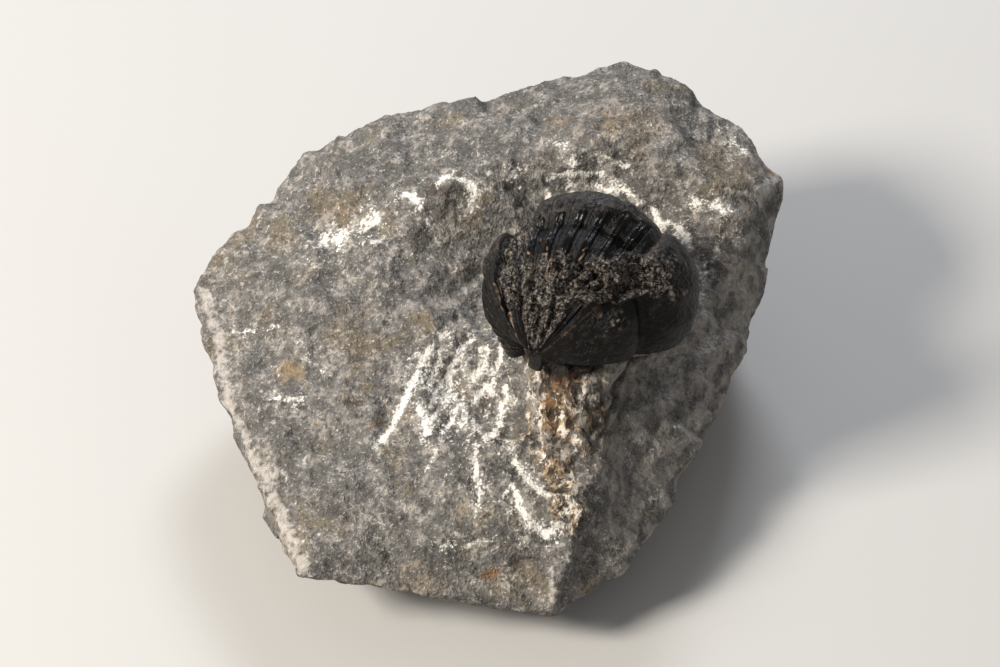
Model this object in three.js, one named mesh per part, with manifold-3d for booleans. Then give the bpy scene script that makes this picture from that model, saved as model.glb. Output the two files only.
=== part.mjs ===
// An enrolled trilobite, 21 mm long, left standing on a short neck of its limestone block.
// Millimetres, +Z up. The block rests on its flat underside at z = 0, and the view that
// shows the fossil's left flank looks along +Y.
import * as THREE from 'three';
import { ConvexGeometry } from 'three/addons/geometries/ConvexGeometry.js';
import { TessellateModifier } from 'three/addons/modifiers/TessellateModifier.js';
import { SimplexNoise } from 'three/addons/math/SimplexNoise.js';
import { mergeVertices } from 'three/addons/utils/BufferGeometryUtils.js';
import Module from 'manifold-3d';

const manifold = await Module();
manifold.setup();

// Block, 60 mm wide and 57 mm deep: the corners of the broken stone. The rim runs from the left
// over the front to the right and back.
const RIM_CORNERS = [
  [-31, 14.5, 14.5], [-29, 5.5, 13.5], [-23, -10.5, 11.5], [-19, -17.5, 9],
  [-6, -18.5, 7], [4.5, -20, 6], [11.5, -15.6, 7], [16.5, -8, 8.7],
  [19.5, -3.3, 10.5], [26.5, 13.7, 14], [29, 24, 20], [24.5, 29.5, 23],
  [13, 37.5, 25], [3.5, 33.5, 24], [-14.5, 31.5, 21], [-20.5, 30, 19],
];
const CREST_CORNERS = [
  [-17.5, 27, 20.5], [-7, 22, 23.2], [1, 22, 24.6], [10, 24, 25.6], [20, 19, 25.2], [26, 21.5, 23],
];
const RIDGE_CORNERS = [
  [5.5, -17, 9], [8.5, -8.5, 15.8], [11, -1, 19.4],
  [2.5, -13.6, 12.6], [-5.5, -14.2, 11.8], [-14, -14.5, 11.4],
];
const BASE_CORNERS = [
  [-21, 10, 0], [-16, -7, 0], [-8, -12, 0], [4, -14, 0], [12, -8, 0],
  [20, 8, 0], [22, 22, 0], [10, 31, 0], [-10, 27, 0],
];
const SIDE_CORNERS = [
  [-27.5, 12.5, 8], [-23, -4, 5.5], [24, 11.5, 8], [27, 24, 11],
  [17, 34, 13], [1, 34.5, 12], [-16.5, 29.5, 9.5],
];
const FACE_STEP = 4.6;
const FACE_PASSES = 12;
const FRACTURE_RELIEF = 0.45;
const FRACTURE_SPACING = 8;
const CHIP_RELIEF = 0.22;
const CHIP_SPACING = 3;
const FLAT_BASE_FADE = 3;
const MERGE_DISTANCE = 1e-4;
const BLOCK_MERGE_DISTANCE = 1e-3;

// Two hollows sunk around the fossil, and a dip in the broken back edge
const HOLLOWS = [
  { centre: [6.5, 9.5, 36], radii: [25, 17.5, 20.4], relief: 0.7 },
  { centre: [-2.5, -2.5, 36], radii: [17, 15, 21.2], relief: 0.5 },
  { centre: [-4, 42, 34], radii: [20, 13, 14], relief: 0.4 },
];
const HOLLOW_SPACING = 4;
const HOLLOW_SEGMENTS = [26, 20];

// Neck of stone under the fossil, and the ridge in front of it: one oval at each height
const NECK_SECTIONS = [
  { centre: [6, -5, 6], radii: [4.2, 8] },
  { centre: [5.6, -6, 10], radii: [3.8, 9] },
  { centre: [5.9, -3.8, 14], radii: [3.7, 7.3] },
  { centre: [6.4, -1, 17.4], radii: [3.9, 6.5] },
  { centre: [6.8, 0, 19.4], radii: [4.3, 6.1] },
  { centre: [7.1, 0.6, 21.4], radii: [4.8, 5.8] },
  { centre: [7.3, 1.5, 23.4], radii: [5.2, 5] },
  { centre: [7.4, 2.8, 25], radii: [4, 3.4] },
];
const NECK_SIDES = 24;
const NECK_RELIEF = 0.5;
const NECK_SPACING = 2.4;

// Coiled body: radius of the midline by angle around the line through both genal angles.
// 0 degrees is the lip of the head, and the angles run over the back to the tail.
const COIL_CENTRE = [5.05, 3.25, 20.9];
const COIL_LEAN = -26;
const COIL_TURN = -15;
const MIDLINE = [
  [-4, 12.2, 8.2], [2, 13, 8.3], [8, 14, 8.4], [18, 14.7, 8.5], [30, 15.5, 8.7], [40, 15.6, 8.8],
  [48, 15.2, 8.8], [54, 15.1, 8.8], [61, 15.2, 8.8], [72, 14.9, 8.8], [84, 14, 8.7], [96, 12.8, 8.7],
  [108, 11.6, 8.6], [120, 10.6, 8.2], [132, 9.6, 7.6], [145, 8.1, 6.9], [158, 6.5, 6.3],
  [170, 5.3, 5.9], [185, 4.6, 5.7], [200, 4.3, 5.5], [216, 4, 5.3],
];
// Cross-sections of half the body: share of the half width, then height from tip to midline
const THORAX_SECTION = [
  [0, 0, 1], [0.12, 0.16, 0.985], [0.24, 0.28, 0.925], [0.32, 0.34, 0.86], [0.42, 0.46, 0.86],
  [0.54, 0.62, 0.84], [0.66, 0.77, 0.77], [0.78, 0.9, 0.62], [0.88, 0.98, 0.4], [0.95, 1, 0.2], [1, 0.97, 0],
];
const HEAD_SECTION = [
  [0, 0, 1], [0.12, 0.15, 0.99], [0.24, 0.29, 0.955], [0.36, 0.42, 0.895], [0.48, 0.54, 0.8],
  [0.56, 0.6, 0.71], [0.66, 0.72, 0.68], [0.78, 0.88, 0.56], [0.88, 0.98, 0.38], [0.95, 1, 0.2], [1, 0.97, 0],
];
const TIP_RADIUS = 1.3;
const HEAD_ANGLES = [2, 50];
const THORAX_ANGLES = [50.5, 152];
const TAIL_ANGLES = [152.5, 204];
const THORACIC_SEGMENTS = 11;
const WIDEST_SEGMENT_SHARE = 0.7;
const SHELL_THICKNESS = 2.1;
const INNER_STEP = 12;
const JOINT_GAP = 0.2;
const FULL_GAP_RADIUS = 8;
const CORE_GAP = 0.4;
const CORE_OVERRUN = 6;
const CORE_PIN = { radius: 1, reach: 7.3, sides: 12 };
const BED_CLEARANCE = 1.1;
const BED_OVERRUN = 3;
const STEPS_ACROSS = 20;
const HEAD_STEPS_ACROSS = 28;
const HEAD_STEPS_ALONG = 14;
const TAIL_STEPS_ALONG = 10;
const WEDGE_STEPS_ACROSS = 18;
const WEDGE_STEPS_ALONG = 22;
const WEDGE_REACH = 0.97;

// Ribs: relief along each segment, from its front edge to its back edge
const RIB_STATIONS = [0, 0.2, 0.5, 0.8, 1];
const RIB_ON_FLANK = [-0.3, 0.12, -0.28, 0.12, -0.3];
const RIB_ON_AXIS = [-0.2, 0.02, 0.15, 0.02, -0.2];
const AXIS_SIDE = [0.24, 0.36];
const RIB_FADE_START = 0.8;
const RIB_LEFT_AT_TIP = 0.4;

// Stretch of the left flank where the shell has broken away
const BREAK_ANGLES = [98, 117];
const BREAK_ACROSS = [-0.84, 0.45];
const BREAK_SLOPE_ANGLE = 3;
const BREAK_SLOPE_ACROSS = 0.08;
const BREAK_DEPTH = 1.5;
const BREAK_VARIATION = 0.12;
const BREAK_WAVE = 2.1;

// Head: where each furrow and swelling lies, as an angle, with its width in degrees and its height
const NECK_FURROW = { middle: 45, width: 2.2, height: -0.5 };
const CHEEK_FURROW = { middle: 44, width: 2, height: -0.4 };
const GLABELLA = { middle: 24, width: 13, height: 0.35 };
const BORDER_FURROW = { middle: 9, width: 3, height: -0.35 };
const GLABELLA_SIDE = [0.3, 0.55];
const CHEEK_START = [0.5, 0.7];

// Tail: rings across the axis, which carry on as faint ribs over the flanks
const TAIL_RINGS = 4.5;
const TAIL_RING_HEIGHT = 0.22;
const TAIL_RIB_SHARE = 0.5;

const EYE_ANGLE = 25;
const EYE_ACROSS = 0.75;
const EYE_RADII = [2.1, 0.9, 1.5];
const EYE_SEGMENTS = [14, 10];

const FOSSIL = { colour: 0x1f1c1a, roughness: 0.45 };
const STONE = { colour: 0x77726c, roughness: 0.9 };

const noise = new SimplexNoise({ random: seeded(7) });

function seeded(seed) {
  let state = seed;
  return () => {
    state = (state * 16807) % 2147483647;
    return state / 2147483647;
  };
}

function through(rows, column) {
  const keys = rows.map((row) => row[0]);
  const values = rows.map((row) => row[column]);
  const curve = new THREE.CubicInterpolant(keys, values, 1);
  return (at) => curve.evaluate(THREE.MathUtils.clamp(at, keys[0], keys.at(-1)))[0];
}

const midlineRadius = through(MIDLINE, 1);
const halfWidth = through(MIDLINE, 2);
const thoraxShape = { out: through(THORAX_SECTION, 1), up: through(THORAX_SECTION, 2) };
const headShape = { out: through(HEAD_SECTION, 1), up: through(HEAD_SECTION, 2) };

// A point of the coiled body, `inset` mm below the shell's outer face and `raise` mm above it
function bodyPoint(shape, angle, across, inset = 0, raise = 0) {
  const side = Math.abs(across);
  const height = shape.up(side);
  const radius = TIP_RADIUS + (midlineRadius(angle) - inset - TIP_RADIUS + raise) * height;
  const y = Math.sign(across) * shape.out(side) * (halfWidth(angle) - inset + raise * (1 - height));
  const turn = THREE.MathUtils.degToRad(angle);
  return new THREE.Vector3(radius * Math.cos(turn), y, radius * Math.sin(turn));
}

// Moves a point off the radial plane at `angle` by half a joint gap, less near the tips
function backOff(point, angle, direction) {
  const turn = THREE.MathUtils.degToRad(angle);
  const share = Math.min(1, Math.hypot(point.x, point.z) / FULL_GAP_RADIUS);
  const distance = (direction * share * JOINT_GAP) / 2;
  point.x += -Math.sin(turn) * distance;
  point.z += Math.cos(turn) * distance;
  return point;
}

// A closed solid from rings of points that all have the same count, with both ends capped
function solidFromRings(rings) {
  const count = rings[0].length;
  const positions = [];
  const indices = [];
  rings.forEach((ring) => ring.forEach((point) => positions.push(point.x, point.y, point.z)));
  for (let row = 0; row < rings.length - 1; row += 1) {
    for (let column = 0; column < count; column += 1) {
      const next = (column + 1) % count;
      const a = row * count + column;
      const b = row * count + next;
      indices.push(a, b, a + count, b, b + count, a + count);
    }
  }
  [0, rings.length - 1].forEach((row) => {
    const centre = rings[row].reduce((sum, point) => sum.add(point), new THREE.Vector3());
    centre.divideScalar(count);
    positions.push(centre.x, centre.y, centre.z);
    const hub = positions.length / 3 - 1;
    for (let column = 0; column < count; column += 1) {
      const a = row * count + column;
      const b = row * count + ((column + 1) % count);
      indices.push(...(row === 0 ? [hub, b, a] : [hub, a, b]));
    }
  });
  const geometry = new THREE.BufferGeometry();
  geometry.setAttribute('position', new THREE.Float32BufferAttribute(positions, 3));
  geometry.setIndex(indices);
  return geometry;
}

function bare(geometry) {
  const copy = geometry.clone();
  copy.deleteAttribute('normal');
  copy.deleteAttribute('uv');
  return copy;
}

function toSolid(geometry) {
  const merged = mergeVertices(bare(geometry), MERGE_DISTANCE);
  const mesh = new manifold.Mesh({
    numProp: 3,
    vertProperties: new Float32Array(merged.attributes.position.array),
    triVerts: new Uint32Array(merged.index.array),
  });
  return new manifold.Manifold(mesh);
}

function toGeometry(solid) {
  const mesh = solid.getMesh();
  const geometry = new THREE.BufferGeometry();
  geometry.setAttribute('position', new THREE.Float32BufferAttribute(mesh.vertProperties, 3));
  geometry.setIndex(new THREE.Uint32BufferAttribute(mesh.triVerts, 1));
  geometry.computeVertexNormals();
  return geometry;
}

function relief(point, spacing) {
  return noise.noise3d(point.x / spacing, point.y / spacing, point.z / spacing);
}

// 1 between the two ends of a stretch, with a slope down to 0 beyond each
function within(at, [start, end], slope) {
  const rise = THREE.MathUtils.smoothstep(at, start - slope, start);
  return rise - THREE.MathUtils.smoothstep(at, end, end + slope);
}

// A rounded bump that is 1 at `middle` and fades out over about `width` on both sides
function bump(at, { middle, width }) {
  return Math.exp(-(((at - middle) / width) ** 2));
}

// Depth of shell lost at a place on the left flank
function brokenAway(angle, across) {
  const along = within(angle, BREAK_ANGLES, BREAK_SLOPE_ANGLE);
  const over = within(across, BREAK_ACROSS, BREAK_SLOPE_ACROSS);
  return BREAK_DEPTH * along * over;
}

function evenStations(count) {
  return Array.from({ length: count + 1 }, (_, index) => index / count);
}

// A plate spanning the body from side to side: one ring of points at each step across,
// forwards to back over the outside and back to front along the inside
function plate(shape, angles, stations, raiseAt, steps) {
  const [front, back] = angles;
  const inside = evenStations(Math.ceil((back - front) / INNER_STEP)).reverse();
  const pointAt = (share, across, inset, raise) => {
    const angle = THREE.MathUtils.lerp(front, back, share);
    const point = bodyPoint(shape, angle, across, inset, raise);
    if (share === 0) backOff(point, angle, 1);
    if (share === 1) backOff(point, angle, -1);
    return point;
  };
  const rings = evenStations(steps).map((step) => {
    const across = 1 - 2 * step;
    const outer = stations.map((share) => {
      const angle = THREE.MathUtils.lerp(front, back, share);
      return pointAt(share, across, 0, raiseAt(share, across, angle));
    });
    const inner = inside.map((share) => pointAt(share, across, SHELL_THICKNESS, 0));
    return [...outer, ...inner];
  });
  return solidFromRings(rings);
}

// Height of the shell along one segment: ribs, less what is broken away
function segmentRelief(index) {
  return (share, across, angle) => {
    const station = RIB_STATIONS.indexOf(share);
    const side = Math.abs(across);
    const axis = 1 - THREE.MathUtils.smoothstep(side, ...AXIS_SIDE);
    const fade = THREE.MathUtils.smoothstep(side, RIB_FADE_START, 1);
    const rib = THREE.MathUtils.lerp(RIB_ON_FLANK[station], RIB_ON_AXIS[station], axis);
    const uneven = 1 + BREAK_VARIATION * Math.sin(index * BREAK_WAVE);
    return rib * THREE.MathUtils.lerp(1, RIB_LEFT_AT_TIP, fade) - brokenAway(angle, across) * uneven;
  };
}

// Front and back angle of one segment: they widen towards the tail, where the coil is tighter
function segmentAngles(index) {
  const [front, back] = THORAX_ANGLES;
  const share = (count) => {
    const even = count / THORACIC_SEGMENTS;
    return even * (WIDEST_SEGMENT_SHARE + (1 - WIDEST_SEGMENT_SHARE) * even);
  };
  return [index, index + 1].map((count) => THREE.MathUtils.lerp(front, back, share(count)));
}

// Head: swollen glabella, furrow behind it, and a flat border along the cheeks
function headRelief(share, across, angle) {
  const side = Math.abs(across);
  const cheek = THREE.MathUtils.smoothstep(side, ...CHEEK_START);
  const middle = 1 - THREE.MathUtils.smoothstep(side, ...GLABELLA_SIDE);
  return NECK_FURROW.height * bump(angle, NECK_FURROW) * (1 - cheek)
    + CHEEK_FURROW.height * bump(angle, CHEEK_FURROW) * cheek
    + GLABELLA.height * bump(angle, GLABELLA) * middle
    + BORDER_FURROW.height * bump(angle, BORDER_FURROW);
}

function eye(side) {
  const ball = new THREE.SphereGeometry(1, ...EYE_SEGMENTS);
  ball.scale(...EYE_RADII);
  ball.rotateY(THREE.MathUtils.degToRad(-EYE_ANGLE));
  const seat = bodyPoint(headShape, EYE_ANGLE, side * EYE_ACROSS);
  ball.translate(seat.x, seat.y, seat.z);
  return toSolid(ball);
}

function cephalonGeometry() {
  const stations = evenStations(HEAD_STEPS_ALONG);
  const shield = plate(headShape, HEAD_ANGLES, stations, headRelief, HEAD_STEPS_ACROSS);
  return toGeometry(toSolid(shield).add(eye(-1)).add(eye(1)));
}

// Tail shield: rings across the axis and ribs on the flanks, fading backwards
function tailRelief(share, across) {
  const ring = Math.cos(2 * Math.PI * TAIL_RINGS * share);
  return TAIL_RING_HEIGHT * ring * (1 - share) * (1 - TAIL_RIB_SHARE * Math.abs(across));
}

function pygidiumGeometry() {
  const stations = evenStations(TAIL_STEPS_ALONG);
  return plate(thoraxShape, TAIL_ANGLES, stations, tailRelief, STEPS_ACROSS);
}

function coilMatrix() {
  const lean = THREE.MathUtils.degToRad(COIL_LEAN);
  const tilt = new THREE.Euler(lean, 0, THREE.MathUtils.degToRad(COIL_TURN));
  return new THREE.Matrix4().makeRotationFromEuler(tilt).setPosition(...COIL_CENTRE);
}

// A wedge of the coiled body about the line through the genal angles, `inset` mm inside the
// shell. `pick` takes the lesser or the greater of the head's and the thorax's cross-sections.
function wedgeSolid(inset, overrun, pick) {
  const shape = {
    out: (side) => pick(headShape.out(side), thoraxShape.out(side)),
    up: (side) => pick(headShape.up(side), thoraxShape.up(side)),
  };
  const [front, back] = [HEAD_ANGLES[0] - overrun, TAIL_ANGLES[1] + overrun];
  const rings = evenStations(WEDGE_STEPS_ACROSS).map((step) => {
    const across = WEDGE_REACH * (1 - 2 * step);
    const arc = evenStations(WEDGE_STEPS_ALONG).map((share) => (
      bodyPoint(shape, THREE.MathUtils.lerp(front, back, share), across, inset)
    ));
    return [new THREE.Vector3(0, arc[0].y, 0), ...arc];
  });
  return toSolid(solidFromRings(rings).applyMatrix4(coilMatrix()));
}

// Stone inside the coil, which the missing shell lays bare, with a pin out to both genal angles
function coreSolid() {
  const { radius, reach, sides } = CORE_PIN;
  const pin = new THREE.CylinderGeometry(radius, radius, 2 * reach, sides);
  const wedge = wedgeSolid(SHELL_THICKNESS + CORE_GAP, CORE_OVERRUN, Math.min);
  return wedge.add(toSolid(pin.applyMatrix4(coilMatrix())));
}

function neckSolid() {
  const rings = NECK_SECTIONS.map(({ centre, radii }) => {
    const ring = [];
    for (let side = 0; side < NECK_SIDES; side += 1) {
      const turn = (2 * Math.PI * side) / NECK_SIDES;
      const point = new THREE.Vector3(Math.cos(turn) * radii[0], Math.sin(turn) * radii[1], 0);
      point.add(new THREE.Vector3(...centre));
      const push = 1 + (NECK_RELIEF * relief(point, NECK_SPACING)) / radii[0];
      point.x = centre[0] + (point.x - centre[0]) * push;
      point.y = centre[1] + (point.y - centre[1]) * push;
      ring.push(point);
    }
    return ring;
  });
  return toSolid(solidFromRings(rings));
}

function hollowSolid({ centre, radii, relief: depth }) {
  const ball = mergeVertices(bare(new THREE.SphereGeometry(1, ...HOLLOW_SEGMENTS)), MERGE_DISTANCE);
  const { position } = ball.attributes;
  const point = new THREE.Vector3();
  for (let index = 0; index < position.count; index += 1) {
    point.fromBufferAttribute(position, index).multiply(new THREE.Vector3(...radii));
    const place = point.clone().add(new THREE.Vector3(...centre));
    place.addScaledVector(point.normalize(), depth * relief(place, HOLLOW_SPACING));
    position.setXYZ(index, place.x, place.y, place.z);
  }
  return toSolid(ball);
}

function blockSolid() {
  const corners = [
    ...RIM_CORNERS, ...CREST_CORNERS, ...RIDGE_CORNERS, ...SIDE_CORNERS, ...BASE_CORNERS,
  ];
  const hull = new ConvexGeometry(corners.map((corner) => new THREE.Vector3(...corner)));
  const divided = new TessellateModifier(FACE_STEP, FACE_PASSES).modify(bare(hull));
  const faces = mergeVertices(divided, BLOCK_MERGE_DISTANCE);
  faces.computeVertexNormals();
  const { position, normal } = faces.attributes;
  const point = new THREE.Vector3();
  const out = new THREE.Vector3();
  for (let index = 0; index < position.count; index += 1) {
    point.fromBufferAttribute(position, index);
    out.fromBufferAttribute(normal, index);
    const fade = THREE.MathUtils.smoothstep(point.z, 0, FLAT_BASE_FADE);
    const fracture = FRACTURE_RELIEF * relief(point, FRACTURE_SPACING);
    const push = fracture + CHIP_RELIEF * relief(point, CHIP_SPACING);
    point.addScaledVector(out, push * fade);
    position.setXYZ(index, point.x, point.y, Math.max(point.z, 0));
  }
  return toSolid(faces);
}

function matrixGeometry() {
  const cut = (block, hollow) => block.subtract(hollowSolid(hollow));
  const hollowed = HOLLOWS.reduce(cut, blockSolid());
  const bed = wedgeSolid(-BED_CLEARANCE, BED_OVERRUN, Math.max);
  return toGeometry(hollowed.add(neckSolid()).subtract(bed).add(coreSolid()));
}

function finish({ colour, roughness }) {
  return new THREE.MeshStandardMaterial({ color: colour, roughness, metalness: 0, flatShading: true });
}

function named(name, geometry, material) {
  const mesh = new THREE.Mesh(geometry, material);
  mesh.name = name;
  return mesh;
}

function fossil() {
  const coil = new THREE.Group();
  coil.applyMatrix4(coilMatrix());
  coil.add(named('cephalon', cephalonGeometry(), finish(FOSSIL)));
  for (let index = 0; index < THORACIC_SEGMENTS; index += 1) {
    const angles = segmentAngles(index);
    const geometry = plate(thoraxShape, angles, RIB_STATIONS, segmentRelief(index), STEPS_ACROSS);
    const name = `thoracic_segment_${String(index + 1).padStart(2, '0')}`;
    coil.add(named(name, geometry, finish(FOSSIL)));
  }
  coil.add(named('pygidium', pygidiumGeometry(), finish(FOSSIL)));
  return coil;
}

const specimen = new THREE.Group();
specimen.add(named('limestone_matrix', matrixGeometry(), finish(STONE)));
specimen.add(fossil());

// The origin is under the middle of the whole specimen's box
const middle = new THREE.Box3().setFromObject(specimen, true).getCenter(new THREE.Vector3());
specimen.position.set(-middle.x, -middle.y, 0);

export default specimen;
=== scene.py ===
import math

import bmesh
import bpy
import numpy as np
from mathutils import Matrix, Vector, noise


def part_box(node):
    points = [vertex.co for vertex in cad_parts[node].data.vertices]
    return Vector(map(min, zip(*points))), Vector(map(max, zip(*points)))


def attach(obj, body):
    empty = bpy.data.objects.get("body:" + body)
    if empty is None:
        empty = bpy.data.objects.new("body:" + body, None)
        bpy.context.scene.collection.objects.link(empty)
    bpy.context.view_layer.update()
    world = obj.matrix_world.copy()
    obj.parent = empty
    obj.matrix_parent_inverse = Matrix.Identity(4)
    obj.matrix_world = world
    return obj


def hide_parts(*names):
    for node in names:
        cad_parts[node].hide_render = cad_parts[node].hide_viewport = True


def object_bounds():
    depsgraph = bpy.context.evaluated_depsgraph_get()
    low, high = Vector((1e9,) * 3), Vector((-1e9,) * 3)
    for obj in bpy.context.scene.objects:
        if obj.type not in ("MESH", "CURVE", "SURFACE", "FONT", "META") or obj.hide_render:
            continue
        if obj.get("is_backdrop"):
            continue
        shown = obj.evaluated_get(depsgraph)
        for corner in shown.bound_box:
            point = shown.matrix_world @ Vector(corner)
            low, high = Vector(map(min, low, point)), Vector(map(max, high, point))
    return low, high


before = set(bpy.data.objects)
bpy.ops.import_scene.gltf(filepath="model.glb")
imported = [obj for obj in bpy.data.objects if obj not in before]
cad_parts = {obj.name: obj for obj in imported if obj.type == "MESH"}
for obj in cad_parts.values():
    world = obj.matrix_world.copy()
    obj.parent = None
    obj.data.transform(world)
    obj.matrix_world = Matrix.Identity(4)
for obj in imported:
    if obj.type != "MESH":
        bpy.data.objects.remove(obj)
low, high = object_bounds()


# Limestone block: the piece of hard grey limestone that the fossil is left on, broken to shape
# with a hammer. Its faces are fractures with chipped edges, and the neck under the fossil was cut
# free with a vibrating needle, whose blows left white bruises on the stone.

# The stone's grid in mm, rounds of smoothing for its surface and to find its edges, and the mm of
# stone that the latter take from a full edge
STONE_GRAIN = 0.33
STONE_SOFTENING = 4
EDGE_SOFTENING = 14
EDGE_HEIGHT = 0.2
# Relief of the broken faces in mm: how far apart it stands and how high
FACET_SPAN = 6.5
FACET_HEIGHT = 0.72
FLAKE_SPAN = 2.4
FLAKE_HEIGHT = 0.3
LEDGE_SPAN = 11.0
LEDGE_HEIGHT = 0.22
# Lines wander this many mm off their points, with bends this far apart
WANDER = 0.5
WANDER_SPAN = 1.6
# How wide a mark shows, in mm or as a multiple of its width, and the crumbs scattered about it
NARROWEST_MARK = 0.32
MARK_SPREAD = 1.4
WORN_SPREAD = 1.9
SCATTER_REACH = 0.6
SCATTER_SHARE = 0.45
# Width in mm of the painted shade along a crack or groove
CRACK_WIDTH = 0.24
# Bearing of the needle's strokes in degrees
STROKE_BEARING = 60
# How far a face turns to the right where the right face begins, and where it is reached
RIGHT_FACE_LEAN = (0.35, 0.6)

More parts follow.
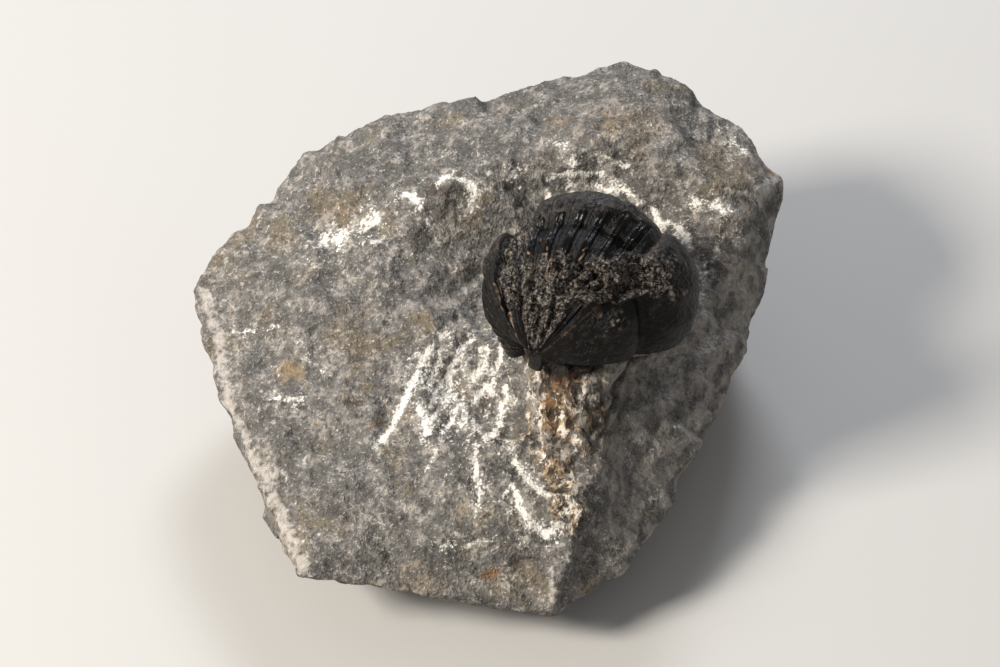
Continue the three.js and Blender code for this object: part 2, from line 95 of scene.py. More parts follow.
# Runs of needle blows: the width and depth of each in mm, its whiteness, and points along it
NEEDLE_MARKS = [
    (0.3, 0.25, 0.95, [(-1.6, -3.9, 17.8), (-2.6, -4.7, 17.2), (-3.6, -6.4, 16.2), (-3.8, -8.4, 15.5),
        (-4.5, -10.2, 15.4), (-5.3, -12.3, 15.6), (-6.1, -13.8, 15.4)]),
    (0.35, 0.3, 1, [(-4.1, -3.6, 18.5), (-5.1, -4.4, 18.0), (-6.5, -6.5, 17.0), (-7.7, -9.0, 16.5),
        (-8.6, -11.1, 15.6), (-9.5, -13.2, 15.1), (-10.4, -14.6, 14.6)]),
    (0.3, 0.2, 0.8, [(-4.8, -4.8, 17.6), (-4.9, -6.2, 16.7), (-5.5, -8.2, 16.4)]),
    (0.3, 0.2, 0.8, [(1.3, -4.6, 17.5), (1.1, -5.8, 16.6), (0.6, -6.7, 15.8)]),
    (0.24, 0.15, 0.85, [(-0.5, -2.5, 16.9), (-3.5, -6.9, 15.8), (-5.1, -9.4, 15.8), (-6.4, -13.1, 15.5)]),
    (0.3, 0.15, 0.8, [(1.4, -3.7, 17.0), (-1.0, -6.7, 15.8), (-3.0, -10.5, 15.1), (-4.4, -14.1, 15.3)]),
    (0.24, 0.15, 0.8, [(0.8, -7.5, 15.6), (-0.2, -11.3, 14.9), (-1.8, -14.7, 15.5)]),
    (0.47, 0.25, 0.9, [(-0.5, -5.0, 17.2), (-0.7, -6.3, 16.2), (-1.6, -7.7, 15.5)]),
    (0.41, 0.2, 0.9, [(-6.6, -11.5, 16.0), (-6.2, -12.8, 15.7), (-5.8, -13.6, 15.5)]),
    (0.47, 0.15, 0.7, [(-4.2, -9.6, 15.3), (-3.3, -9.2, 15.1), (-2.5, -11.2, 15.0), (-2.2, -13.4, 15.0)]),
    (0.35, 0.2, 1, [(1.6, -8.6, 15.6), (1.2, -11.0, 15.1), (0.4, -14.9, 15.7)]),
    (0.35, 0.2, 0.95, [(1.7, -15.4, 15.8), (2.5, -17.7, 15.3), (4.0, -19.4, 14.4), (5.5, -20.5, 14.0)]),
    (0.41, 0.2, 1, [(2.4, -19.9, 14.1), (3.4, -21.9, 13.2), (4.0, -23.2, 12.3), (5.4, -23.6, 11.6),
        (6.4, -23.0, 12.1)]),
    (0.18, 0.12, 0.75, [(-1.1, -15.5, 15.7), (-1.2, -17.3, 15.1), (-0.8, -19.5, 14.1),
        (-1.1, -22.7, 12.4)]),
    (0.15, 0.08, 0.6, [(-5.2, -16.5, 14.9), (-6.1, -18.0, 14.2)]),
    (0.18, 0.05, 0.7, [(-4.6, -24.6, 11.3), (-2.7, -24.5, 11.1), (-0.8, -24.2, 11.3),
        (0.0, -24.3, 11.3)]),
    (0.18, 0, 0.75, [(10.3, -15.3, 17.2), (9.3, -17.8, 15.7), (8.5, -19.3, 14.6), (7.8, -21.3, 13.3),
        (7.4, -23.0, 11.9)]),
    (0.24, 0, 0.8, [(6.1, -25.7, 9.2), (6.1, -27.3, 7.5), (5.7, -28.2, 6.5)]),
    (0.3, 0.1, 0.55, [(4.0, -16.5, 15.7), (5.4, -17.1, 15.6), (7.0, -17.4, 16.4)]),
    (0.3, 0.1, 0.6, [(4.2, -12.0, 18.8), (4.9, -14.0, 17.7)]),
    (1.0, 0.12, 0.75, [(-16.3, 8.0, 19.1), (-14.7, 8.0, 19.5), (-13.0, 9.0, 20.1)]),
    (0.8, 0.1, 0.65, [(-13.0, 9.0, 20.1), (-11.2, 9.8, 20.9)]),
    (0.41, 0.1, 0.7, [(-12.8, 8.7, 20.2), (-11.0, 9.1, 20.8)]),
    (0.35, 0.05, 0.9, [(-11.5, 6.5, 20.3), (-10.8, 6.5, 20.3)]),
    (0.35, 0.1, 0.95, [(-8.2, 11.2, 22.2), (-7.3, 10.3, 22.5)]),
    (0.15, 0.08, 0.7, [(-6.9, 9.8, 22.3), (-6.1, 8.4, 21.4), (-5.1, 6.7, 20.0)]),
    (0.35, 0.1, 1, [(-4.6, 12.6, 23.5), (-2.6, 12.1, 23.5), (-1.6, 11.8, 22.5), (-1.9, 10.7, 21.7)]),
    (0.3, 0.05, 0.7, [(-0.3, 13.2, 23.7), (0.1, 13.1, 23.5)]),
    (0.35, 0.08, 0.9, [(2.2, 13.3, 23.0), (2.8, 13.3, 22.9)]),
    (0.18, 0.1, 0.7, [(-21.4, -9.1, 14.2), (-19.8, -9.4, 14.4), (-18.1, -9.5, 14.9)]),
    (0.18, 0.1, 0.6, [(-18.6, -4.6, 15.5), (-16.4, -6.0, 15.9), (-15.9, -7.6, 15.6)]),
    (0.12, 0.05, 0.5, [(-25.6, -0.3, 14.4), (-23.3, -0.5, 15.3), (-21.1, -1.0, 16.0)]),
    (0.41, 0, 0.9, [(-29.3, 5.3, 14.7), (-27.4, 0.7, 14.2), (-26.4, -5.0, 13.7), (-25.1, -9.6, 13.0),
        (-22.5, -15.5, 12.1)]),
    (0.47, 0, 0.9, [(-22.5, -15.5, 12.1), (-21.1, -18.2, 11.6), (-19.3, -22.5, 10.5),
        (-17.4, -26.0, 9.5)]),
    (0.77, 0, 0.7, [(-22.4, -15.2, 12.3), (-21.5, -16.5, 12.0), (-20.9, -17.6, 11.8)]),
    (0.18, 0.05, 0.8, [(6.9, 15.9, 24.9), (8.4, 15.5, 25.1)]),
    (0.24, 0.05, 0.9, [(7.8, 14.3, 24.2), (9.2, 14.1, 24.2)]),
    (0.18, 0.08, 0.7, [(10.6, 14.7, 25.0), (12.2, 14.7, 24.3), (14.0, 14.1, 23.6)]),
    (0.18, 0.1, 0.85, [(6.4, 13.6, 22.4), (8.2, 13.8, 23.2), (10.7, 14.0, 22.9), (13.3, 12.9, 21.8),
        (15.2, 11.1, 21.5)]),
    (0.24, 0.05, 0.8, [(5.9, 13.1, 21.2), (6.2, 12.1, 20.8)]),
    (0.3, 0.05, 0.9, [(8.0, 13.4, 21.8), (8.4, 13.4, 21.7)]),
    (0.24, 0.1, 0.9, [(10.2, 13.5, 21.9), (11.8, 12.9, 21.5), (13.5, 12.4, 21.6)]),
    (0.3, 0.12, 0.95, [(16.3, 10.5, 21.0), (17.3, 9.5, 20.0), (19.2, 8.7, 20.4), (19.9, 7.6, 20.2),
        (20.2, 6.4, 19.8)]),
    (0.35, 0.1, 0.9, [(20.7, 10.0, 22.6), (22.1, 9.2, 23.0), (23.7, 8.5, 23.0)]),
    (0.24, 0.05, 0.7, [(23.0, 6.0, 21.7), (22.7, 4.8, 20.9)]),
    (0.18, 0.05, 0.6, [(21.6, 4.9, 19.8), (21.6, 3.4, 19.3)]),
    (0.3, 0.05, 0.8, [(24.8, 18.0, 23.2), (26.1, 17.0, 23.1)]),
    (0.35, 0, 0.8, [(23.9, 10.3, 24.0), (25.9, 10.9, 23.2), (27.5, 12.0, 22.5), (29.1, 15.2, 21.0)]),
    (0.47, 0, 0.7, [(27.5, 11.2, 22.1), (27.5, 9.2, 20.9), (27.7, 7.2, 19.3), (26.7, 3.7, 18.7)]),
    (0.3, 0.05, 0.6, [(25.1, 6.7, 21.3), (25.0, 4.6, 20.3)]),
    (0.3, 0, 0.5, [(19.5, -16.7, 12.9), (20.5, -15.3, 13.5), (21.1, -13.7, 13.8)]),
    (0.24, 0, 0.4, [(-10.3, -24.9, 10.4), (-11.1, -24.5, 10.7), (-12.0, -24.0, 11.2)]),
]
# Stains in the stone: a point and a radius in mm, and the strength of each
RUST_SPOTS = [
    ((22.3, -0.1, 19.8), 1.0, 0.8), ((20.7, -3.2, 19.2), 0.9, 0.9), ((18.4, 11.1, 22.2), 0.5, 0.8),
    ((13.9, 21.0, 25.3), 0.9, 0.8), ((15.5, 19.8, 25.2), 0.9, 0.8), ((7.9, 18.7, 25.0), 0.8, 0.6),
    ((-10.6, -17.6, 13.5), 0.4, 0.9), ((-11.2, -13.1, 15.0), 0.4, 0.8), ((0.2, -26.2, 8.7), 0.9, 1),
    ((5.7, -12.1, 23.4), 1.0, 0.8), ((6.4, -13.3, 22.4), 1.3, 0.9), ((6.0, -13.8, 19.8), 1.1, 0.8),
    ((5.7, -15.3, 17.9), 1.0, 0.7), ((7.5, -16.6, 17.2), 0.8, 0.7), ((8.6, -17.5, 16.2), 0.7, 0.6),
    ((18.2, -13.7, 15.3), 0.7, 0.8), ((17.5, -15.1, 15.0), 0.6, 0.8), ((-14.6, 10.9, 19.8), 1.0, 0.5),
    ((-6.6, -17.8, 14.2), 0.8, 0.4), ((8.3, -21.3, 13.2), 0.6, 0.6), ((-4.3, -6.5, 16.3), 0.4, 0.7),
]
TAN_SPOTS = [
    ((-19.4, -6.1, 15.1), 1.7, 1), ((28.7, 15.2, 21.4), 1.0, 0.9), ((11.2, 17.2, 25.7), 2.9, 0.5),
    ((17.9, 19.4, 25.0), 2.3, 0.5), ((-15.8, 17.6, 20.4), 1.9, 0.5), ((-15.1, 12.2, 20.0), 1.5, 0.4),
    ((-18.9, 3.8, 17.7), 2.1, 0.4), ((4.9, -17.4, 15.2), 1.3, 0.7), ((6.8, -19.4, 14.6), 1.0, 0.6),
    ((-6.5, -26.8, 8.6), 2.9, 0.5), ((-14.5, -10.1, 15.6), 1.9, 0.3), ((-3.2, -21.7, 13.0), 1.5, 0.4),
    ((9.7, -14.7, 19.5), 1.3, 0.4), ((21.4, 15.6, 24.4), 1.9, 0.4), ((-25.1, 4.2, 15.9), 1.9, 0.3),
]
DARK_SPOTS = [
    ((-5.4, 11.2, 22.9), 1.5, 1), ((26.2, 9.8, 22.4), 0.8, 0.9), ((23.7, 5.1, 21.3), 0.7, 0.7),
    ((17.0, -9.7, 17.3), 0.9, 0.8), ((7.3, -14.9, 19.4), 0.7, 0.8), ((4.5, -14.9, 16.5), 0.7, 0.7),
    ((-1.5, -13.1, 15.0), 0.7, 0.7), ((8.6, -17.6, 16.1), 0.3, 1), ((-24.4, -10.0, 13.1), 0.9, 0.6),
    ((-19.3, 13.6, 19.2), 1.1, 0.4), ((4.9, -25.2, 9.7), 1.5, 0.5), ((-5.8, 0.0, 19.0), 1.1, 0.2),
    ((15.2, 14.9, 25.1), 1.0, 0.3),
]
# An oval pit that the needle made: its centre, radii and depth, then where its pale rim lies and
# how wide it is, as shares of the radii
OVAL_PIT = ((-0.1, -11.6, 15.0), (1.0, 2.4, 1.6), 0.7)
PIT_RIM = (1.35, 0.3)
# Steps and cracks where a flake of stone came off, and needle grooves down the neck: the width and
# depth of each in mm, and points along it. Their lines are painted dark as shade
CRACKS = [
    (0.5, 0.45, [(-16.6, -20.3, 12.0), (-14.9, -21.2, 12.0), (-12.5, -22.4, 11.9)]),
    (0.5, 0.35, [(-9.2, -16.6, 14.0), (-8.7, -20.4, 12.8), (-7.3, -23.0, 11.9), (-4.6, -24.6, 11.2)]),
    (0.5, 0.4, [(-4.6, -24.6, 11.2), (-0.8, -24.3, 11.2), (1.4, -24.5, 11.0), (3.2, -25.3, 9.5)]),
    (0.7, 0.4, [(-23.3, -11.8, 13.0), (-20.8, -10.8, 14.1), (-18.4, -10.4, 14.7)]),
    (0.6, 0.3, [(-18.4, -10.4, 14.7), (-14.0, -10.5, 15.4), (-8.6, -10.2, 15.9)]),
    (0.5, 0.25, [(-9.3, 0.0, 19.0), (-10.7, -4.5, 17.3), (-9.4, -9.8, 16.0), (-10.7, -14.4, 14.7)]),
    (0.5, 0.3, [(-5.9, 8.9, 21.9), (-4.9, 12.4, 23.4), (-1.9, 12.8, 24.1)]),
    (0.6, 0.3, [(15.3, 10.3, 20.5), (21.2, 9.9, 23.0), (26.2, 10.6, 22.6)]),
    (0.7, 0.3, [(14.7, -9.3, 17.6), (16.7, -11.7, 14.4), (14.7, -16.2, 12.2)]),
]
NECK_GROOVES = [
    (0.45, 0.6, [(12.7, -9.7, 19.3), (11.9, -12.2, 18.0), (11.0, -14.4, 16.9), (10.3, -16.2, 16.1),
        (9.5, -18.4, 15.0)]),
    (0.35, 0.4, [(13.5, -9.9, 18.3), (12.7, -12.4, 17.1), (11.5, -14.6, 16.1)]),
    (0.35, 0.4, [(5.4, -12.3, 22.2), (5.7, -13.7, 19.7), (6.2, -15.8, 17.8), (6.8, -17.6, 16.3)]),
    (0.35, 0.4, [(8.2, -13.3, 22.2), (8.7, -14.9, 19.7), (8.0, -16.7, 17.4)]),
    (0.35, 0.45, [(10.6, -12.6, 22.5), (10.8, -13.7, 19.8), (9.9, -15.1, 17.3)]),
]
# The neck from the fossil down, its half width and the heights where it sets in, then the skirt of
# rough stone below it, all in mm
NECK_LINE = [(7.6, -9.5, 24.0), (7.3, -11.5, 20.0), (6.6, -15.0, 16.5), (7.0, -19.0, 14.0)]
NECK_WIDTH = 4.9
NECK_FOOT = (14.0, 17.5)
NECK_SKIRT = [(6.6, -16.0, 16.2), (6.8, -19.0, 14.8), (7.4, -22.0, 12.5)]
SKIRT_WIDTH = 2.1
# The sharp edge between the front and the right face, from the neck to the lowest corner
FRONT_EDGE = [(11.9, -12.9, 17.4), (10.7, -15.6, 16.1), (9.5, -18.6, 14.9), (8.6, -21.2, 13.2),
              (7.8, -23.4, 11.3), (6.8, -26.0, 8.8), (6.0, -28.1, 6.6)]
FRONT_EDGE_HEIGHT = 1.0
FRONT_EDGE_SLOPE = 1.3
# Width in mm of the white line painted along this edge as a highlight
FRONT_EDGE_HIGHLIGHT_WIDTH = 0.35
# The lumpy collar of stone where the neck meets the fossil, painted almost black as the shade under it
COLLAR = [(4.0, -11.9, 24.0), (4.4, -12.5, 23.3), (6.4, -12.4, 23.3), (9.5, -12.0, 23.6)]
COLLAR_WIDTH = 1.5


def lumps(points, period, seed):
    """Smooth relief from -1 to 1 at each point, with lumps about `period` mm apart."""
    return np.array([noise.noise(Vector(place)) for place in (points / period + seed).tolist()])


def flakes(points, period, seed):
    """Flat-faced relief: each cell of stone leans its own way and meets the next along an edge."""
    heights = []
    for place in (points / period + seed).tolist():
        place = Vector(place)
        spans, spots = noise.voronoi(place)
        faces = []
        for spot in spots[:2]:
            lean = noise.cell_vector(spot * 17.3)
            faces.append((place - spot).dot(lean) + 0.4 * lean.z)
        share = min(1.0, (spans[1] - spans[0]) / 0.17) / 2
        heights.append(faces[0] * (0.5 + share) + faces[1] * (0.5 - share))
    return np.array(heights)


def ledges(points, period, seed):
    """Terraces a unit high, as thin flakes of stone leave them, and how near each point is to an edge."""
    level = 3.2 * lumps(points, period, seed)
    rest = level - np.floor(level)
    return np.floor(level) + smooth_step(0.38, 0.62, rest), hump(rest - 0.62, 0.1)


def smooth_step(low_end, high_end, value):
    share = np.clip((value - low_end) / (high_end - low_end), 0, 1)
    return share * share * (3 - 2 * share)


def hump(span, width):
    """1 where the span is 0, fading away over `width` on both sides."""
    return np.exp(-(span / width) ** 2)


def distance_to_run(points, run):
    """Distance in mm from each point to a line through the points of `run`."""
    nearest = np.full(len(points), 1e9)
    for start, end in zip(np.array(run[:-1], float), np.array(run[1:], float)):
        along = end - start
        share = np.clip((points - start) @ along / (along @ along), 0, 1)
        nearest = np.minimum(nearest, np.linalg.norm(points - start - share[:, None] * along, axis=1))
    return nearest


def vertices_of(mesh, what="co"):
    values = np.empty(len(mesh.vertices) * 3, np.float32)
    mesh.vertices.foreach_get(what, values)
    return values.reshape(-1, 3).astype(float)


def put_in_scene(name, data):
    made = bpy.data.objects.new(name, data)
    bpy.context.scene.collection.objects.link(made)
    return made


def put_vertices(mesh, points):
    mesh.vertices.foreach_set("co", points.astype(np.float32).ravel())
    mesh.update()


def paint(mesh, name, values):
    """Keeps one number for each vertex, which a material reads by name."""
    kept = mesh.attributes.new(name, "FLOAT", "POINT")
    kept.data.foreach_set("value", np.clip(values, 0, 1).astype(np.float32))


def apply_modifier(piece, kind, **settings):
    bpy.ops.object.select_all(action="DESELECT")
    piece.select_set(True)
    bpy.context.view_layer.objects.active = piece
    modifier = piece.modifiers.new(kind.lower(), kind)
    for name, value in settings.items():
        setattr(modifier, name, value)
    bpy.ops.object.modifier_apply(modifier=modifier.name)


def linear(code):
    """An sRGB hex colour as the linear values that a shader takes."""
    parts = [int(code[index:index + 2], 16) / 255 for index in (1, 3, 5)]
    return [((part + 0.055) / 1.055) ** 2.4 if part > 0.04045 else part / 12.92 for part in parts] + [1.0]


def add(tree, kind, inputs=None, **settings):
    """Adds a node, with its settings, and its inputs as values or as links from other nodes."""
    made = tree.nodes.new(kind)
    for name, value in settings.items():
        setattr(made, name, value)
    for name, value in (inputs or {}).items():
        if isinstance(value, bpy.types.NodeSocket):
            tree.links.new(value, made.inputs[name])
        else:
            made.inputs[name].default_value = value
    return made


def grain(tree, period, detail=4.0, rough=0.6, twist=0.0, drawn=None, stretch=(3.5, 1.0, 1.5)):
    """Noise in the material itself, with marks about `period` mm apart.

    Given a bearing in degrees as `drawn`, the marks are drawn out by `stretch`."""
    place = add(tree, "ShaderNodeTexCoord").outputs["Object"]
    if drawn is not None:
        turned = {"Vector": place, "Rotation": (0.0, 0.0, math.radians(drawn)), "Scale": stretch}
        place = add(tree, "ShaderNodeMapping", turned, vector_type="TEXTURE").outputs[0]
    settings = {"Vector": place, "Scale": 1000 / period, "Detail": detail, "Roughness": rough,
                "Distortion": twist}
    return add(tree, "ShaderNodeTexNoise", settings).outputs["Fac"]


def reach(tree, value, start, end):
    """Goes softly from 0 where the value is `start` to 1 where it is `end`."""
    settings = {"Value": value, "From Min": start, "From Max": end}
    return add(tree, "ShaderNodeMapRange", settings, interpolation_type="SMOOTHSTEP").outputs["Result"]


def reckon(tree, operation, first, second=0.0):
    return add(tree, "ShaderNodeMath", {0: first, 1: second}, operation=operation).outputs[0]


def plus(tree, first, second):
    return reckon(tree, "ADD", first, second)


def times(tree, first, second):
    return reckon(tree, "MULTIPLY", first, second)


def swing(tree, pattern, strength):
    """A pattern turned to lie on both sides of 0, and made `strength` times as strong."""
    return times(tree, reckon(tree, "SUBTRACT", pattern, 0.5), strength)


def blend(tree, share, under, over):
    """One colour laid over another. A colour is a hex code or a link."""
    ends = [linear(end) if isinstance(end, str) else end for end in (under, over)]
    return add(tree, "ShaderNodeMix", {0: share, 6: ends[0], 7: ends[1]}, data_type="RGBA").outputs[2]


def layer(tree, under, value, start, end, strength, over):
    """Lays a colour over another, from where the value is `start` to its full share at `end`."""
    return blend(tree, times(tree, reach(tree, value, start, end), strength), under, over)


def painted(tree, name):
    return add(tree, "ShaderNodeAttribute", attribute_name=name).outputs["Fac"]


block = put_in_scene("limestone_block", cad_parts["limestone_matrix"].data.copy())
block.data.materials.clear()
shell = bmesh.new()
shell.from_mesh(block.data)
bmesh.ops.remove_doubles(shell, verts=shell.verts, dist=1e-6)
shell.to_mesh(block.data)
shell.free()
apply_modifier(block, "REMESH", mode="VOXEL", voxel_size=STONE_GRAIN / 1000)
apply_modifier(block, "SMOOTH", factor=0.5, iterations=STONE_SOFTENING)
places = vertices_of(block.data) * 1000
# An edge is where a further smoothing takes stone away
apply_modifier(block, "SMOOTH", factor=0.5, iterations=EDGE_SOFTENING)
facing = vertices_of(block.data, "normal")
edges = smooth_step(0.04, EDGE_HEIGHT, ((places - vertices_of(block.data) * 1000) * facing).sum(1))

# Where the stone is bruised by the needle, rubbed or cut away. Lines wander off their points.
needle = np.zeros(len(places))
worn = np.zeros(len(places))
cut = np.zeros(len(places))
wander = WANDER * np.stack([lumps(places, WANDER_SPAN, seed) for seed in (3.1, 8.7, 15.2)], 1)
for width, depth, white, run in NEEDLE_MARKS:
    span = distance_to_run(places + 0.6 * wander, run)
    mark = hump(span, max(MARK_SPREAD * width, NARROWEST_MARK))
    scatter = SCATTER_SHARE * hump(span, SCATTER_REACH + 2.5 * width)
    if depth:
        needle = np.maximum(needle, white * np.maximum(mark, scatter))
        cut += depth * mark
    else:
        worn = np.maximum(worn, white * hump(span, WORN_SPREAD * width))
pit_centre, pit_radii, pit_depth = OVAL_PIT
pit_span = np.linalg.norm((places - np.array(pit_centre)) / np.array(pit_radii), axis=1)
pit = np.exp(-pit_span ** 2)
needle = np.maximum(needle, 0.9 * hump(pit_span - PIT_RIM[0], PIT_RIM[1]))

# The right face, which is calmer and painted paler as fill light, the neck with its skirt below,
# and the collar under the fossil, which is painted almost black as the fossil's shade
right_face = smooth_step(*RIGHT_FACE_LEAN, facing[:, 0])
neck = np.exp(-(distance_to_run(places, NECK_LINE) / NECK_WIDTH) ** 4)
neck *= smooth_step(*NECK_FOOT, places[:, 2] + 0.35 * wander[:, 0])
skirt = np.exp(-(distance_to_run(places, NECK_SKIRT) / SKIRT_WIDTH) ** 4) * (1 - right_face)
neck = np.maximum(neck, 0.85 * skirt)
collar = hump(distance_to_run(places + wander, COLLAR), COLLAR_WIDTH)

# Relief in mm: broad facets, terraces and flakes, then chips and grit
terraces, brink = ledges(places + wander, LEDGE_SPAN, 5.2)
depth = 0.25 * lumps(places, 7.0, 1.3) + FACET_HEIGHT * flakes(places + 0.6 * wander, FACET_SPAN, 2.7)
depth += (1 - 0.5 * right_face) * (
    FLAKE_HEIGHT * flakes(places + wander, FLAKE_SPAN, 11.4) + LEDGE_HEIGHT * terraces * (1 - neck))
depth += (1 - 0.4 * right_face) * (0.1 * flakes(places, 1.1, 6.0) + 0.06 * lumps(places, 0.5, 4.4))
edge_span = distance_to_run(places + 0.5 * wander, FRONT_EDGE)
depth += FRONT_EDGE_HEIGHT * np.exp(-edge_span / FRONT_EDGE_SLOPE)
depth -= edges * (0.05 + 0.3 * np.abs(lumps(places, 2.4, 9.9)))
depth -= cut * (0.6 + 0.6 * lumps(places, 1.1, 5.5)) + pit_depth * pit
# The neck's strokes run downwards, and its collar is lumpy
upright = places * np.array([1.0, 1.0, 0.35])
depth += neck * (0.6 * flakes(places + wander, 1.7, 7.9) + 0.3 * lumps(upright + wander, 1.1, 3.7) - 0.15)
depth += collar * (0.6 * flakes(places + wander, 1.1, 3.1) + 0.4 * lumps(places, 0.9, 6.1) - 0.1)
# Cracks and grooves are also painted dark along their lines, as shade
crack = np.zeros(len(places))
open_share = smooth_step(-0.2, 0.2, lumps(places, 2.0, 7.7))
for width, deep, run in CRACKS + NECK_GROOVES:
    span = distance_to_run(places + 0.5 * wander, run)
    depth -= deep * hump(span, width)
    crack = np.maximum(crack, hump(span, CRACK_WIDTH) * open_share)
edges = np.maximum(edges, 0.75 * brink * smooth_step(0.05, 0.3, lumps(places, 3.5, 2.9)) * (1 - neck))
# The foot stays as it is, and nothing leaves the solid's box
depth *= smooth_step(0.0, 2.0, places[:, 2])
places += facing * depth[:, None]
lowest, highest = (np.array(corner) * 1000 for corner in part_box("limestone_matrix"))
places = np.clip(places, lowest + 0.01, highest - 0.01)
put_vertices(block.data, places / 1000)
block.data.polygons.foreach_set("use_smooth", [True] * len(block.data.polygons))

paint(block.data, "needle", needle)
# Worn edges, and the white line along the front edge, which is a painted highlight
paint(block.data, "edge", np.maximum(edges, 0.9 * hump(edge_span, FRONT_EDGE_HIGHLIGHT_WIDTH)))
paint(block.data, "worn", worn)
# The cracks, grooves and the oval pit are painted dark as shade
paint(block.data, "crack", np.maximum(crack, 0.5 * pit))
# Where the right face is: the material makes it calmer and paints it paler as fill light
paint(block.data, "right", right_face)
paint(block.data, "neck", neck)
# The collar is painted almost black as the shade under the fossil
paint(block.data, "collar", collar)
for stain, spots in (("rust", RUST_SPOTS), ("tan", TAN_SPOTS), ("dark", DARK_SPOTS)):
    shade = np.zeros(len(places))
    for centre, radius, strength in spots:
        span = np.linalg.norm(places + wander - np.array(centre), axis=1)
        shade = np.maximum(shade, strength * hump(span, radius))
    paint(block.data, stain, shade)

# Broken limestone: mid grey with warm clouds, fine pale and dark grains, thin curled pale seams,
# and white where the needle bruised it or an edge is worn. Painted shade darkens the cracks, the
# pit and the collar under the fossil, a painted highlight runs along the front edge, and the right
# face is painted paler as fill light
limestone = bpy.data.materials.new("limestone_broken_by_hammer")
limestone.use_nodes = True
tree = limestone.node_tree
tree.nodes.clear()
clouds = grain(tree, 7.0, 4.0, 0.6)
patches = grain(tree, 1.9, 4.0, 0.6, 0.3)
crumbs = grain(tree, 0.6, 3.0, 0.6)
specks = grain(tree, 0.26, 2.0, 0.6)
right = painted(tree, "right")
calm = reckon(tree, "SUBTRACT", 1.0, times(tree, right, 0.4))
# Grey ground with brown and dark clouds, painted a little paler on the right face as fill light
base = reach(tree, plus(tree, patches, times(tree, right, 0.05)), 0.34, 0.66)
colour = blend(tree, base, "#54524e", "#777470")
colour = layer(tree, colour, clouds, 0.52, 0.62, 0.5, "#74664f")
colour = layer(tree, colour, clouds, 0.45, 0.36, 0.4, "#4e4c49")
# Pale grains and seams, dark crumbs and fine specks, all calmer on the right face
grains = plus(tree, crumbs, swing(tree, patches, 0.7))
colour = layer(tree, colour, grains, 0.55, 0.68, times(tree, calm, 0.5), "#a59e95")
curls = reckon(tree, "ABSOLUTE", reckon(tree, "SUBTRACT", grain(tree, 3.4, 2.0, 0.5, 0.4), 0.5))
seams = times(tree, reach(tree, grains, 0.5, 0.6), times(tree, calm, 0.6))
colour = layer(tree, colour, curls, 0.014, 0.003, seams, "#bdb6ad")
colour = layer(tree, colour, crumbs, 0.46, 0.36, 0.55, "#35312c")
colour = layer(tree, colour, specks, 0.58, 0.69, times(tree, calm, 0.42), "#c4beb5")
colour = layer(tree, colour, specks, 0.4, 0.32, 0.5, "#2b2723")
# More pale grains on the right face: painted fill light for its shade
colour = layer(tree, colour, patches, 0.44, 0.58, times(tree, right, 0.4), "#a39c93")
# Stains with ragged rims
loose = plus(tree, swing(tree, patches, 2.2), swing(tree, crumbs, 2.0))
for stain, tint in (("tan", "#8a724f"), ("rust", "#8a6236"), ("dark", "#3d2a20")):
    share = plus(tree, painted(tree, stain), times(tree, loose, 0.6))
    colour = layer(tree, colour, share, 0.2, 0.95, 0.7, tint)
# The neck: brown and grey rock drawn out downwards, with white scars and dark hollows
streaks = grain(tree, 0.95, 5.0, 0.62, 0.35, 0.0, (1.0, 1.0, 2.4))
broad = grain(tree, 2.6, 3.0, 0.55, 0.4, 0.0, (1.0, 1.0, 1.8))
scars = plus(tree, streaks, swing(tree, patches, -0.5))
neck_rock = blend(tree, reach(tree, streaks, 0.42, 0.55), "#2a1d14", "#9a8263")
neck_rock = layer(tree, neck_rock, broad, 0.5, 0.57, 0.75, "#8b857c")
neck_rock = layer(tree, neck_rock, broad, 0.43, 0.37, 0.6, "#3a2a1e")
neck_rock = layer(tree, neck_rock, scars, 0.545, 0.605, 0.9, "#e2dcd0")
neck_rock = layer(tree, neck_rock, crumbs, 0.45, 0.36, 0.8, "#1a120d")
neck_rock = layer(tree, neck_rock, painted(tree, "rust"), 0.2, 0.8, 0.6, "#94683a")
neck_share = plus(tree, painted(tree, "neck"), times(tree, loose, 0.8))
colour = layer(tree, colour, neck_share, 0.3, 0.8, 0.9, neck_rock)
# Cracks, grooves and the oval pit painted dark as shade, rubbed edges with a painted highlight
# along the front edge, and the white bruises in a veil of stone dust
colour = blend(tree, times(tree, painted(tree, "crack"), 0.65), colour, "#2c2824")
# Rubbed edges, with the painted highlight along the front edge
rubbed_and_highlit = reckon(tree, "MAXIMUM", painted(tree, "worn"), times(tree, painted(tree, "edge"), 0.45))
colour = layer(tree, colour, plus(tree, rubbed_and_highlit, times(tree, loose, 0.7)), 0.3, 0.95, 0.7, "#bdb6ae")
bruised = painted(tree, "needle")
strokes = grain(tree, 0.8, 4.0, 0.65, 0.2, STROKE_BEARING)
colour = layer(tree, colour, plus(tree, bruised, times(tree, loose, 0.5)), 0.1, 0.8, 0.5, "#b6b1a8")
chips = plus(tree, swing(tree, strokes, 1.9), swing(tree, specks, 1.7))
bruise = plus(tree, bruised, plus(tree, times(tree, loose, 0.35), chips))
colour = layer(tree, colour, bruise, 0.42, 0.85, 0.95, "#e8e4dc")
